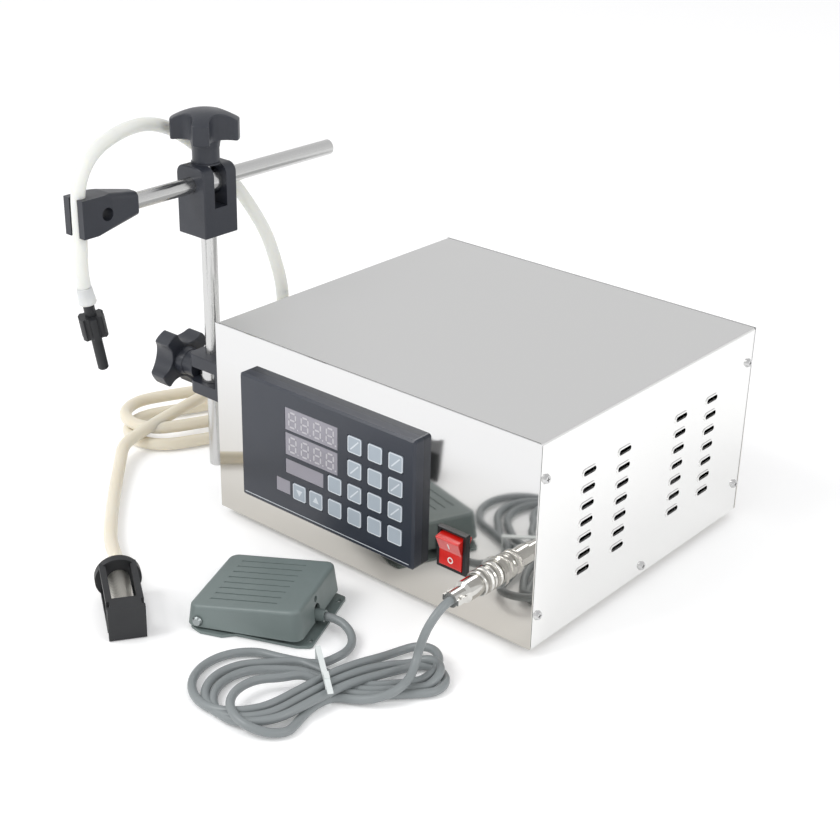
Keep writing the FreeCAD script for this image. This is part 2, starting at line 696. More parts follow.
def make_rocker_switch():
    x, z = SWITCH_X, BASE + D.switch_z
    w, h = D.bezel_width / 2, D.bezel_height / 2
    bw, bh = w - D.bezel_rim, h - D.bezel_rim
    iw, ih = bw - D.bezel_wall, bh - D.bezel_wall / 3
    front = HALF_D + D.bezel_lip
    b = Body("bezel")
    sk = b.sketch("rim_outline", "XZ", HALF_D)
    rectangle(sk, x, z, w * 2, h * 2)
    b.pad("rim", sk, D.bezel_lip)
    b.round("rim_corners", 1, lambda e: upright(e, "y"))
    b.bevel("rim_bevel", 0.7, lambda e: on(e, y=-front))
    sk = b.sketch("body_outline", "XZ", HALF_D - D.bezel_depth)
    rectangle(sk, x, z, bw * 2, bh * 2)
    b.pad("housing", sk, D.bezel_depth)
    sk = b.sketch("well_outline", "XZ", front)
    rectangle(sk, x, z, iw * 2, ih * 2)
    b.removes(b.pocket("well", sk, D.bezel_lip + D.bezel_depth - D.bezel_wall))
    sk = b.sketch("pivot_circle", "YZ", x - iw - D.pivot_reach - D.play)
    circle(sk, -(HALF_D - D.pivot_depth), z, D.pivot_radius + D.running_gap)
    b.removes(b.pocket("pivot_holes", sk, (iw + D.pivot_reach + D.play) * 2, reverse=True))
    piece(b.body, "rocker_bezel")

    # the rocker about its pivot: local x out of the panel, y up, tilted with its top end proud
    r = Body("rocker")
    half, face, back = D.rocker_half, D.rocker_face, D.rocker_back
    rise = half * sine(D.rocker_tilt) / cosine(D.rocker_tilt)
    width = iw * 2 - D.rocker_side_gap * 2
    sk = r.sketch("section", "XY")
    outline(sk, [(face, 0), (face + rise, half), (-2, half), (-back, half / 2),
                 (-back, -half / 2), (-2, -half), (face + rise, -half)])
    r.pad("rocker", sk, width, midplane=True)
    r.round("ends", 0.8, lambda e: upright(e, "z") and abs(abs(
        e.BoundBox.Center.y) - half.value) < 0.01 and e.BoundBox.Center.x > 0)
    sk = r.sketch("pivot_outline", "XY")
    circle(sk, 0, 0, D.pivot_radius)
    r.pad("pivots", sk, width + D.rocker_side_gap * 2 + D.pivot_reach * 2, midplane=True)
    r.body.setExpression("Placement", (
        f"placement(vector({x.text}; {(-(HALF_D - D.pivot_depth)).text}; {z.text});"
        f" rotation(vector(0; 0; 1); -90) * rotation(vector(1; 0; 0); 90)"
        f" * rotation(vector(0; 0; 1); {(-D.rocker_tilt).text}))"))
    piece(r.body, "rocker")


def make_connector():
    x, z = SOCKET_X, BASE + D.socket_z
    at = lambda out: (x, -(HALF_D + out), z)
    r = D.barrel_radius
    inner = -D.sheet
    solid = fuse(
        "socket", cylinder("socket_flange", at(0), "-Y", D.socket_flange_radius, D.socket_flange),
        cylinder("socket_barrel", at(inner - D.socket_nut), "-Y", r,
                 D.barrel_length - inner + D.socket_nut),
        hexagon("socket_nut", at(inner - D.socket_nut), "-Y", r + 3, D.socket_nut),
        cylinder("socket_tail", at(inner - D.socket_tail), "-Y", r * 0.7, D.socket_tail))
    piece(cut("pedal_socket", solid, cylinder("socket_mouth", at(D.socket_flange), "-Y",
                                              D.barrel_bore, D.barrel_length)), "pedal_socket")

    shell = fuse(
        "shell", cylinder("plug_nose", at(D.socket_flange + D.play), "-Y",
                          D.barrel_bore - D.plug_gap, D.plug_end - D.socket_flange - D.play),
        cylinder("plug_collar", at(D.plug_collar_start), "-Y", D.plug_collar_radius,
                 D.plug_collar_end - D.plug_collar_start),
        cylinder("plug_body", at(D.plug_collar_start), "-Y", D.plug_radius,
                 D.plug_end - D.plug_collar_start),
        cone("plug_shoulder", at(D.plug_end), "-Y", D.plug_radius, D.plug_neck_radius, 2),
        cylinder("plug_neck", at(D.plug_end), "-Y", D.plug_neck_radius, D.plug_tail - D.plug_end),
        box("saddle", (x - D.saddle_width / 2, x + D.saddle_width / 2),
            (-(HALF_D + D.plug_tail), -(HALF_D + D.plug_tail - D.saddle_length)),
            (z - D.saddle_height / 2, z + D.saddle_height / 2)),
        *(cylinder("saddle_screw", (x + D.saddle_width * 0.38 * s,
                                    -(HALF_D + D.plug_tail - D.saddle_length / 2),
                                    z - D.saddle_height / 2), "+Z", D.saddle_screw,
                   D.saddle_height + 1.2) for s in (-1, 1)))
    piece(cut("plug_shell", shell, cylinder("cable_entry", at(D.plug_tail - D.saddle_length), "-Y",
                                            D.cable_radius + D.play, D.saddle_length + 1)),
          "plug_shell")

    ring = Body("plug_ring")
    lip = D.plug_collar_end + D.play
    gap = D.running_gap * 2
    sk = ring.sketch("section", "XZ")
    outline(sk, [(r + gap, D.ring_start), (D.ring_radius - 0.5, D.ring_start),
                 (D.ring_radius, D.ring_start + 0.5), (D.ring_radius, D.ring_end - 0.5),
                 (D.ring_radius - 0.5, D.ring_end), (D.plug_radius + gap, D.ring_end),
                 (D.plug_radius + gap, lip), (r + gap, lip)])
    ring.revolve("ring", sk)
    place(ring.body, (x, -HALF_D, z), "x", 90)
    piece(ring.body, "plug_ring")


def make_mains_inlet():
    x, z, y = INLET_X, BASE + D.inlet_z, HALF_D
    b = Body("mains")
    sk = b.sketch("flange_outline", "XZ", -y - D.inlet_flange)
    w, h = D.inlet_flange_width / 2, D.inlet_flange_height / 2
    body = D.inlet_body_width / 2 + 2
    outline(sk, [(x - w, z), (x - body, z - h), (x + body, z - h), (x + w, z), (x + body, z + h),
                 (x - body, z + h)])
    b.pad("flange", sk, D.inlet_flange)
    b.round("flange_ends", 4, lambda e: upright(e, "y") and abs(abs(
        e.BoundBox.Center.x - x.value) - w.value) < 0.01)
    sk = b.sketch("body_outline", "XZ", -y)
    rectangle(sk, x, z, D.inlet_body_width, D.inlet_body_height)
    b.pad("housing", sk, D.inlet_body_depth)
    sk = b.sketch("recess_outline", "XZ", -y - D.inlet_flange)
    a = D.inlet_body_width / 2 - D.inlet_wall
    c = D.inlet_body_height / 2 - D.inlet_wall
    cut_corner = c / 3
    outline(sk, [(x - a, z - c), (x + a, z - c), (x + a, z + c - cut_corner),
                 (x + a - cut_corner, z + c), (x - a + cut_corner, z + c),
                 (x - a, z + c - cut_corner)])
    depth = D.inlet_flange + D.inlet_body_depth - D.inlet_floor
    b.removes(b.pocket("recess", sk, depth, reverse=True))
    sk = b.sketch("pin_outlines", "XZ", -y + D.inlet_body_depth - D.inlet_floor)
    for px, pz in ((-1, -1), (0, 1), (1, -1)):
        rectangle(sk, x + D.pin_spacing * px, z + D.pin_rise * pz / 2 * 1, D.pin_width,
                  D.pin_height)
    b.pad("pins", sk, D.pin_length, reverse=True)
    sk = b.sketch("screw_circles", "XZ", -y - D.inlet_flange)
    for s in (-1, 1):
        circle(sk, x + D.inlet_screw_spacing / 2 * s, z, D.screw_radius)
    b.removes(b.pocket("screw_holes", sk, D.inlet_flange / 2, reverse=True))
    piece(b.body, "mains_inlet")


def make_pump():
    z, left = BASE + D.pump_z, -(HALF_W - D.sheet - D.head_gap)
    floor = BASE + D.sheet
    head = fuse("head", cylinder("head_body", (left, 0, z), "+X", D.head_radius, D.head_length),
                cylinder("head_cap", (left + D.head_length / 3, 0, z), "+X",
                         D.head_radius + D.head_rim, D.head_length / 3))
    ports = [cylinder("head_port", (left, y, pz), "+X", D.port_barb, D.head_length / 3)
             for y, pz in port_points()]
    piece(cut("pump_head", head, *ports), "pump_head")
    start = left + D.head_length
    motor = cylinder("motor_can", (start, 0, z), "+X", D.motor_radius, D.motor_length)
    end = cylinder("motor_end", (start + D.motor_length, 0, z), "+X", D.motor_radius * 0.8, 5)
    w, half = D.motor_foot_width / 2, D.motor_foot_length / 2
    middle = start + D.motor_length / 2
    t = D.motor_foot_sheet
    foot = box("motor_foot", (middle - half, middle + half), (-w, w), (floor, floor + t))
    webs = [box("motor_web", (middle + (half - t) * s - t, middle + (half - t) * s + t),
                (-w * 0.7, w * 0.7), (floor, z - D.motor_radius / 2)) for s in (-1, 1)]
    piece(fuse("pump_motor", motor, end, foot, *webs), "pump_motor")


def make_supply():
    x, y, low = D.supply_x, D.supply_y, BASE + D.sheet
    w, d = D.supply_width / 2, D.supply_depth / 2
    top = low + D.supply_post + D.supply_height
    parts = [box("supply_case", (x - w, x + w), (y - d, y + d), (low + D.supply_post, top))]
    for sx in (-1, 1):
        for sy in (-1, 1):
            parts.append(cylinder("supply_post", (x + (w - 6) * sx, y + (d - 6) * sy, low), "+Z",
                                  4, D.supply_post))
    piece(fuse("power_supply", *parts), "power_supply")


def make_ports():
    parts = []
    for y, z in port_points():
        out = -HALF_W
        solid = fuse(
            "port", hexagon("port_hex", (out, y, z), "-X", D.port_hex, D.port_hex_length),
            cylinder("port_shank", (out, y, z), "+X", D.port_shank_radius,
                     D.sheet + D.head_gap),
            cylinder("port_nipple", (out - D.port_hex_length, y, z), "-X",
                     D.port_barb - D.barb_rise, D.port_barb_length),
            *(cone("port_barb", (out - D.port_hex_length - D.port_barb_length * k, y, z), "-X",
                   D.port_barb, D.port_barb - D.barb_rise, D.port_barb_length / 4)
              for k in (0.25, 0.5, 0.75)))
        parts.append(cut("port_bored", solid, cylinder(
            "port_bore", (out + D.sheet + D.head_gap, y, z), "-X", D.port_barb / 2,
            D.sheet + D.head_gap + D.port_hex_length + D.port_barb_length)))
    piece(group("hose_ports", *parts), "hose_ports")


def make_block(label):
    """A rod clamp: local +Z to the knob, the clamped rod along Y, a blind bore from below."""
    b = Body(label)
    t, w, n = D.block_thickness, D.block_width, D.block_length
    bore = D.rod_radius + D.running_gap
    sk = b.sketch("outline", "XZ")
    c = D.block_corner
    outline(sk, [(-t / 2, 0), (t / 2, 0), (t / 2, n - c), (t / 2 - c, n), (c - t / 2, n),
                 (-t / 2, n - c)], {2: c, 4: c})
    b.pad("block", sk, w, midplane=True)
    b.round("edges", D.block_edge, lambda e: on(e, z=0) or (upright(e, "z") and on(
        e, x=t / 2) or upright(e, "z") and on(e, x=-t / 2)))
    sk = b.sketch("blind_circle", "XY")
    circle(sk, 0, 0, bore)
    b.removes(b.pocket("blind_bore", sk, D.blind_depth, reverse=True))
    sk = b.sketch("cross_circle", "XZ", w / 2 + 1)
    circle(sk, 0, D.block_bore_height, bore)
    b.removes(b.pocket("cross_bore", sk, w + 2))
    sk = b.sketch("slot_outline", "YZ", t / 2 + 1)
    s, high = D.slot_width / 2, n + 1
    outline(sk, [(-s, D.slot_floor), (s, D.slot_floor), (s, high), (-s, high)])
    b.removes(b.pocket("slot", sk, t + 2))
    return b.body


def make_eye_bolt(label):
    """The bolt whose eye draws the rod against the bore, in the block's own frame."""
    half = D.slot_width / 2 - D.eye_gap
    z = D.block_bore_height
    eye = cylinder("eye", (0, -half, z), "+Y", D.eye_radius, half * 2)
    shank = cylinder("eye_shank", (0, 0, z + D.rod_radius), "+Z", D.shank_radius,
                     D.spacer_length + D.knob_bore_depth + D.block_length - z - D.rod_radius)
    hole = cylinder("eye_hole", (0, -half - 1, z), "+Y", D.rod_radius + D.running_gap,
                    half * 2 + 2)
    return cut(label, fuse("eye_bolt", eye, shank), hole)


def make_spacer(label):
    b = Body(label)
    bore, r = D.shank_radius + D.spacer_gap, D.clamp_spacer_radius
    sk = b.sketch("section", "XZ")
    outline(sk, [(bore, 0), (D.washer_radius, 0), (D.washer_radius, D.washer), (r, D.washer),
                 (r, D.spacer_length), (bore, D.spacer_length)])
    b.revolve("turned", sk)
    return b.body


def make_knob(label):
    """A four-lobed knob, local z = 0 at the foot of its hub."""
    b = Body(label)
    r, low, high = D.knob_radius, D.knob_rim_low, D.knob_rim_high
    hub, hub_top = D.knob_hub_radius, D.knob_hub_top_radius
    sk = b.sketch("section", "XZ")
    outline(sk, [(0, 0), (hub, 0), (hub_top, D.knob_hub_height), (r, low), (r, high),
                 (0, D.knob_height)], {4: D.knob_dome_radius})
    b.revolve("turned", sk)
    sk = b.sketch("scallop_circle", "XY")
    circle(sk, D.scallop_offset, 0, D.scallop_radius)
    scallop = b.removes(b.pocket("scallop", sk, D.knob_height, reverse=True))
    b.around("scallops", (scallop,), 4)
    b.round("lobe_corners", D.knob_round, lambda e: upright(e, "z") and e.BoundBox.ZMin > 1
            and math.hypot(e.BoundBox.Center.x, e.BoundBox.Center.y) > r.value - 1)
    b.round("lobe_edges", D.knob_edge, lambda e: e.BoundBox.ZMin > low.value - 1
            and math.hypot(e.BoundBox.Center.x, e.BoundBox.Center.y) > hub_top.value + 0.5
            and not upright(e, "z"))
    sk = b.sketch("bore_circle", "XY")
    circle(sk, 0, 0, D.shank_radius + D.running_gap)
    b.removes(b.pocket("bore", sk, D.knob_bore_depth + D.play * 2, reverse=True))
    return b.body


def make_rod(label, length, at, axis="z", angle=0):
    b = Body(label)
    sk = b.sketch("section", "XY")
    circle(sk, 0, 0, D.rod_radius)
    b.pad("rod", sk, length)
    b.bevel("ends", D.rod_chamfer, lambda e: on(e, z=0) or on(e, z=length))
    place(b.body, at, axis, angle)
    return piece(b.body, label)


def make_stand():
    bore = D.block_bore_height
    lower = (STAND_X + bore, D.stand_y, LOWER_Z)
    upper = (STAND_X, D.stand_y, ARM_Z - bore)
    sides = {"lower": (lower, "corner", 120), "upper": (upper, "z", 0)}
    above = D.block_length
    for side, spot in sides.items():
        piece(place(make_block(side + "_clamp"), *spot), side + "_clamp")
        piece(place(make_eye_bolt(side + "_eye_bolt"), *spot), side + "_eye_bolt")
    piece(place(make_spacer("lower_spacer"), (lower[0] - above, lower[1], lower[2]), "corner",
                120), "lower_spacer")
    piece(place(make_spacer("upper_spacer"), (upper[0], upper[1], upper[2] + above)),
          "upper_spacer")
    seat = above + D.spacer_length
    knob = make_knob("lower_knob")
    knob.setExpression("Placement", (
        f"placement(vector({(lower[0] - seat).text}; {lower[1].text}; {lower[2].text});"
        f" rotation(vector(1; -1; -1); 120) * rotation(vector(0; 0; 1);"
        f" {D.lower_knob_turn.text}))"))
    piece(knob, "lower_knob")
    piece(place(make_knob("upper_knob"), (upper[0], upper[1], upper[2] + seat), "z",
                D.upper_knob_turn), "upper_knob")
    bottom = BASE + D.mast_bottom
    make_rod("mast", ARM_Z - bore + D.blind_depth - D.mast_top_gap - bottom,
             (STAND_X, D.stand_y, bottom))
    make_rod("arm_rod", D.arm_rear - D.arm_front, (STAND_X, D.arm_front, ARM_Z), "x", -90)
    out = -HALF_W
    end = STAND_X + bore
    piece(fuse(
        "stand_stub",
        cylinder("stub_flange", (out, D.stand_y, LOWER_Z), "-X", D.stub_flange_radius,
                 D.stub_flange),
        cylinder("stub_rod", (out, D.stand_y, LOWER_Z), "-X", D.rod_radius,
                 out - end + D.stub_in_block),
        cylinder("stub_thread", (out, D.stand_y, LOWER_Z), "+X", D.stub_thread_radius,
                 D.sheet + D.stub_nut_length + 2),
        hexagon("stub_nut", (out + D.sheet, D.stand_y, LOWER_Z), "+X", D.stub_nut,
                D.stub_nut_length)), "stand_stub")


def make_fork():
    """The hose fork: jaws at the front, a round boss on the arm behind, z = 0 at the arm."""
    b = Body("fork")
    w, h = D.fork_width / 2, D.fork_height / 2
    tip, heel, end, boss = D.fork_tip, D.fork_heel, D.boss_end, D.boss_radius
    sk = b.sketch("side_outline", "YZ")
    outline(sk, [(tip, -h), (heel - 8, -h), (end, -boss), (end, boss), (heel, h), (tip, h)])
    b.pad("body", sk, w * 2, midplane=True)
    sk = b.sketch("plan_outline", "XY", -h - 1)
    far = w + 5
    for s in (-1, 1):
        outline(sk, [(w * s, heel), (far * s, heel), (far * s, end + 1), (boss * s * 0.8, end + 1)])
    b.removes(b.pocket("plan_taper", sk, h * 2 + 2, reverse=True))
    b.round("boss_edges", D.fork_round, lambda e: e.BoundBox.Center.y > heel.value - 6
            and e.BoundBox.YLength > 10 and abs(e.BoundBox.Center.x) > 1)
    sk = b.sketch("rod_circle", "XZ", -(end + 1))
    circle(sk, 0, 0, D.rod_radius + D.running_gap)
    b.removes(b.pocket("rod_bore", sk, end + 1 - D.arm_front + D.mast_top_gap, reverse=True))
    sk = b.sketch("hole_circle", "YZ", w + 1)
    circle(sk, D.fork_hole_y, 0, D.fork_hole_radius)
    b.removes(b.pocket("cross_hole", sk, w * 2 + 2))
    sk = b.sketch("groove_outline", "XY", -h - 1)
    r, m = D.groove_radius, D.groove_mouth
    circle(sk, 0, D.groove_y, r)
    b.removes(b.pocket("groove", sk, h * 2 + 2, reverse=True))
    sk = b.sketch("mouth_outline", "XY", -h - 1)
    outline(sk, [(-m, D.groove_y), (-m, tip - 1), (m, tip - 1), (m, D.groove_y)])
    b.removes(b.pocket("mouth", sk, h * 2 + 2, reverse=True))
    place(b.body, (STAND_X, 0, ARM_Z))
    return piece(b.body, "hose_fork")


def make_nozzle():
    """A lobed collar with a spout below and a hose sleeve above; local +Z up the hose."""
    b = Body("nozzle")
    sk = b.sketch("section", "XZ")
    bore, neck, spout, collar = D.nozzle_bore, D.nozzle_neck, D.nozzle_spout, D.nozzle_collar
    low = -D.nozzle_neck_length
    mid = low - D.nozzle_collar_length
    bottom = mid - D.nozzle_spout_length
    top = D.nozzle_barb_length
    barb = D.nozzle_barb
    outline(sk, [(bore, top), (barb - 0.6, top), (barb, top - 2), (barb, 0), (neck, 0),
                 (neck, low), (collar, low), (collar, mid), (spout, mid),
                 (spout, bottom + 1), (spout - 0.8, bottom), (bore, bottom)])
    b.revolve("turned", sk)
    sk = b.sketch("scallop_circle", "XY", low + 1)
    circle(sk, collar + 0.4, 0, D.nozzle_scallop)
    scallop = b.removes(b.pocket("scallop", sk, D.nozzle_collar_length + 2))
    b.around("scallops", (scallop,), 6)
    place(b.body, (STAND_X, D.nozzle_y, BASE + D.nozzle_z), "x", D.nozzle_lean)
    return piece(b.body, "nozzle")


def tube(label, points, radius, sockets=()):
    """A round cord along straight runs joined by tangent arcs; sockets are cut for the barbs."""
    points = [V(*p) for p in points]
    edges, at, radii, length = [], points[0], [], 0.0
    for before, here, after in zip(points, points[1:], points[2:]):
        a, b = here - before, after - here
        reach = 0.45 * min(a.Length, b.Length)
        turn = a.getAngle(b)
        bend = reach / math.tan(turn / 2)
        radii.append(bend)
        first = here - a.normalize() * reach
        last = here + b.normalize() * reach
        inward = (last - here + (first - here)).normalize()
        middle = here + inward * (bend / math.cos(turn / 2) - bend)
        edges += [Part.LineSegment(at, first).toShape(), Part.Arc(first, middle, last).toShape()]
        at = last
    edges.append(Part.LineSegment(at, points[-1]).toShape())
    path = Part.Wire(edges)
    start = points[1] - points[0]
    ring = Part.Wire([Part.Circle(points[0], start, radius).toShape()])
    shape = path.makePipeShell([ring], True, False)
    if shape.Volume < 0:
        shape.reverse()
    expected = math.pi * radius ** 2 * path.Length
    print(f"{label}: length {path.Length:.0f}, smallest bend {min(radii):.0f}, "
          f"bends {' '.join(f'{r:.0f}' for r in radii)}, volume {shape.Volume / expected:.4f}")
    for at, way, bore, depth in sockets:
        shape = shape.cut(Part.makeCylinder(bore, depth, V(*at), V(*way)))
    obj = doc.addObject("Part::Feature", label)
    obj.Shape = shape.Solids[0]
    obj.Placement = FreeCAD.Placement()
    return piece(obj, label)


def number(value):
    return size(value).value


def tilted(at, lean, distance):
    """A point up a line that leans back about X by an angle, from a point."""
    a = math.radians(lean)
    return (at[0], at[1] - math.sin(a) * distance, at[2] + math.cos(a) * distance)


def make_hoses():
    r, z0 = number(D.hose_radius), number(BASE)
    outlet, inlet = [(number(-HALF_W - D.port_hex_length), number(y), number(z))
                     for y, z in port_points()]
    barb = number(D.port_barb + D.barb_gap), number(D.port_barb_length + 0.3)
    x = number(STAND_X)
    ox, oy, oz = outlet
    hidden = [(ox - 17, oy, oz + 0.4), (ox - 31.7, oy + 0.2, oz + 8.9),
              (ox - 40.7, oy + 0.5, oz + 23.3), (ox - 43.1, oy + 1, oz + 40.1),
              (ox - 40.6, oy + 1.5, oz + 58), (ox - 38.2, oy + 2, oz + 77.8),
              (ox - 39, oy + 1.2, oz + 98), (ox - 44.5, oy - 0.5, oz + 118)]
    seen = [(-202, -25.5, 187), (-212, -37.5, 215), (-219.5, -54, 240), (-222.5, -76, 261.5),
            (-220.5, -101, 279), (-214.5, -127, 288.5), (-206.5, -154, 291), (-198.8, -179.8, 287.9),
            (-194.2, -192.6, 284.4)]
    gy, top, lean = number(D.groove_y), number(ARM_Z), number(D.nozzle_lean)
    end = (x, number(D.nozzle_y), number(BASE + D.nozzle_z))
    last = [(x - 2.8, gy + 10.6, top + 33.6), (x - 0.8, gy + 3.6, top + 25.2),
            (x, gy + 0.03, top + 15), (x, gy - 0.1, top + 1),
            (x, gy - 0.3, top - 16), (x, gy - 1.6, top - 33), tilted(end, lean, 17), end]
    tube("outlet_hose", [outlet] + hidden + seen + last, r, [
        (outlet, (-1, 0, 0), *barb),
        (end, (0, -math.sin(math.radians(lean)), math.cos(math.radians(lean))),
         number(D.nozzle_barb + D.barb_gap), number(D.nozzle_barb_length + 0.3))])

    # the inlet hose: from its port down to the coil, and from the coil to the strainer
    ix, iy, iz = inlet
    lead = [inlet, (ix - 18, iy - 0.1, iz - 0.2), (ix - 35, iy - 1.5, iz - 5.7),
            (ix - 48.9, iy - 3.8, iz - 16), (ix - 60, iy - 5.6, iz - 29)]
    tube("inlet_hose_lead", lead, r, [(inlet, (-1, 0, 0), *barb)])
    start, away = coil_gate(), strainer_start()
    tail = [start, (-270.4, -124.5, 12.3), (-256, -139.5, 8), (-238.5, -157.5, 5.8),
            (-215.5, -180, 5.2), (-190.5, -203, 5.1), (-166, -224, 5.4)] + away
    tube("inlet_hose_tail", tail, r, [
        (away[-1], tuple(-c for c in strainer_axis()), number(D.nozzle_barb + D.barb_gap),
         number(D.strainer_barb_length + 0.3))])


def coil_gate():
    """Where the hose leaves the front loop of the coil."""
    a = math.radians(number(D.coil_turn))
    u, middle = V(math.cos(a), math.sin(a)), V(number(D.coil_x), number(D.coil_y))
    straight = number((D.coil_length - D.coil_width) / 2)
    tail = middle - u * straight + V(0.267, -0.964) * number(D.coil_width / 2)
    return tail.x, tail.y, number(D.coil_height / 2)


def strainer_axis():
    """The unit vector from the strainer's ring to its end; ring and cage both touch the table."""
    turn = math.radians(number(D.strainer_turn))
    tilt = strainer_tilt()
    return (math.cos(turn) * math.cos(tilt), math.sin(turn) * math.cos(tilt), -math.sin(tilt))


def strainer_tilt():
    drop = number(D.ring_outer - D.cage_size / 2)
    return math.asin(drop / number(D.strainer_length))


def strainer_start():
    """The hose's last points: up from the table and square into the strainer's ring."""
    axis = V(*strainer_axis())
    ring = V(number(D.strainer_x), number(D.strainer_y), number(D.ring_outer + D.strainer_lift))
    face = ring - axis * number(D.ring_width / 2)
    return [tuple(face - axis * 33 + V(2, 2, -9.5)), tuple(face - axis * 16 + V(0, 0, -1.2)),
            tuple(face)]


def make_coil():
    b = Body("coil")
    length, width, band = D.coil_length, D.coil_width, D.coil_band
    sk = b.sketch("outline", "XY")
    slot(sk, 0, 0, length, width)
    b.pad("coil", sk, D.coil_height)
    sk = b.sketch("eye_outline", "XY")
    slot(sk, 0, 0, length - band * 2, width - band * 2)
    b.removes(b.pocket("eye", sk, D.coil_height, reverse=True))
    b.round("rounding", D.coil_round, lambda e: on(e, z=0) or on(e, z=D.coil_height))
    place(b.body, (D.coil_x, D.coil_y, 0), "z", D.coil_turn)
    piece(b.body, "inlet_hose_coil")


def strainer_place(obj):
    drop = (D.ring_outer - D.cage_size / 2) / D.strainer_length
    obj.setExpression("Placement", (
        f"placement(vector({D.strainer_x.text}; {D.strainer_y.text};"
        f" {(D.ring_outer + D.strainer_lift).text}); rotation(vector(0; 0; 1);"
        f" {D.strainer_turn.text}) * rotation(vector(0; 1; 0); asin({drop.text})))"))
    return obj


def make_strainer():
    """Local +X runs from the ring to the end block."""
    half, bar, n = D.cage_size / 2, D.cage_bar, D.strainer_length
    back = -D.ring_width / 2
    mesh = D.mesh_radius + D.mesh_gap
    parts = [cylinder("ring", (back, 0, 0), "+X", D.ring_outer, D.ring_width),
             box("end_block", (n - D.cage_end, n), (-half, half), (-half, half)),
             cylinder("barb_nipple", (back, 0, 0), "-X", D.nozzle_barb, D.strainer_barb_length)]
    for sy in (-1, 1):
        for sz in (-1, 1):
            y, z = (half - bar / 2) * sy, (half - bar / 2) * sz
            parts.append(box("corner_bar", (size(0), n), (y - bar / 2, y + bar / 2),
                             (z - bar / 2, z + bar / 2)))
    notches = []
    for s in (-1, 1):
        low, high = (half - D.cage_notch, half + 1) if s > 0 else (-half - 1, D.cage_notch - half)
        mid = n - D.cage_end / 2
        span = (mid - D.cage_notch_length / 2, mid + D.cage_notch_length / 2)
        notches.append(box("notch", span, (low, high), (-half - 1, half + 1)))
    seat = cylinder("mesh_seat", (back + 1.5, 0, 0), "+X", mesh, n - D.cage_end - back + 1.5)
    bore = cylinder("bore", (back - D.strainer_barb_length, 0, 0), "+X", D.nozzle_bore,
                    D.strainer_barb_length + D.ring_width)
    piece(strainer_place(cut("strainer_cage", fuse("cage", *parts), seat, bore, *notches)),
          "strainer_cage")
    r = D.mesh_radius
    outer = cylinder("mesh_outer", (back + 1.7, 0, 0), "+X", r, n - D.cage_end - back + 1)
    inner = cylinder("mesh_inner", (back + 1.7, 0, 0), "+X", r - 0.8, n - D.cage_end - back)
    piece(strainer_place(cut("strainer_mesh", outer, inner)), "strainer_mesh")


def pedal_place(obj):
    return place(obj, (D.pedal_x, D.pedal_y, 0), "z", D.pedal_turn)


def make_pedal():
    """The foot pedal about its own middle: +X to the free end, the hinge pin near the other."""
    n, w = D.pedal_length / 2, D.pedal_width / 2
    low = D.plate + D.skirt_gap
    b = Body("treadle")
    sk = b.sketch("outline", "XY", low)
    rectangle(sk, 0, 0, D.pedal_length, D.pedal_width)
    shell = b.pad("block", sk, D.pedal_high - low)
    bind(shell, "TaperAngle", -D.pedal_draft)
    sk = b.sketch("slope_outline", "XZ", w + 1)
    outline(sk, [(-n - 1, D.pedal_low), (n + 1, D.pedal_high), (n + 1, D.pedal_high + 5),
                 (-n - 1, D.pedal_high + 5)])
    b.removes(b.pocket("slope", sk, w * 2 + 2))
    b.round("corners", D.pedal_corner, lambda e: e.BoundBox.ZLength > 8
            and e.BoundBox.XLength < 5 and e.BoundBox.YLength < 5)
    b.round("top_edges", D.pedal_edge, lambda e: e.BoundBox.ZMin > D.pedal_low.value - 2)
    wall, lean = D.pedal_wall, sine(D.pedal_draft) / cosine(D.pedal_draft)
    slope = (D.pedal_high - D.pedal_low) / (D.pedal_length + 2)
    roof = lambda x: D.pedal_low + (x + n + 1) * slope - wall
    left, right = wall - n, n - wall
    top_left, top_right = left + (roof(left) - low) * lean, right - (roof(right) - low) * lean
    half = w - wall - D.corner_spare - (D.pedal_low - low) * lean
    sk = b.sketch("cavity_section", "XZ", half)
    outline(sk, [(left, low - 1), (right, low - 1), (top_right, roof(top_right)),
                 (top_left, roof(top_left))])
    b.removes(b.pocket("cavity", sk, half * 2))
    sk = b.sketch("skirt_outline", "XZ", w + 1)
    lift = D.pedal_press
    outline(sk, [(-n - 1, 0), (n + 1, 0), (n + 1, low + lift), (D.pin_x, low), (-n - 1, low)])
    b.removes(b.pocket("skirt", sk, w * 2 + 2))
    sk = b.sketch("pin_circle", "XZ", w + 1)
    circle(sk, D.pin_x, D.pin_z, D.pin_radius + D.running_gap)
    b.removes(b.pocket("pin_holes", sk, w * 2 + 2))
    sk = b.sketch("end_openings", "YZ", n + 1)
    circle(sk, D.gland_y, D.side_hole_z, D.side_hole)
    g, y, crown = D.gland_notch, D.gland_y, D.gland_z + D.pedal_press + D.notch_spare
    outline(sk, [(y - g, 0), (y + g, 0), (y + g, crown), (y - g, crown)], {2: g + 0.01})
    b.removes(b.pocket("end_holes", sk, D.pedal_wall * 4))
    ribbed = pedal_ribs(b)
    pedal_place(b.body)
    piece(b.body, "pedal_treadle")
    make_pedal_base()


def pedal_ribs(b):
    """Shallow grooves across the sloping top, left standing as ribs between them."""
    n, w = D.pedal_length / 2, D.pedal_width / 2
    slope = (D.pedal_high - D.pedal_low) / (D.pedal_length + 2)
    start, stop = -D.rib_length / 2 - 4, D.rib_length / 2 - 4
    height = lambda x: D.pedal_low + (x + n + 1) * slope - D.rib_height
    first = -D.rib_pitch * (D.rib_count - 1) / 2
    sk = b.sketch("rib_section", "XZ", -first - D.rib_width / 2)
    outline(sk, [(start, height(start)), (stop, height(stop)), (stop, height(stop) + 4),
                 (start, height(start) + 4)])
    groove = b.removes(b.pocket("rib_groove", sk, D.rib_width, reverse=True))
    return b.row("rib_grooves", (groove,), "Y_Axis", D.rib_pitch, D.rib_count)


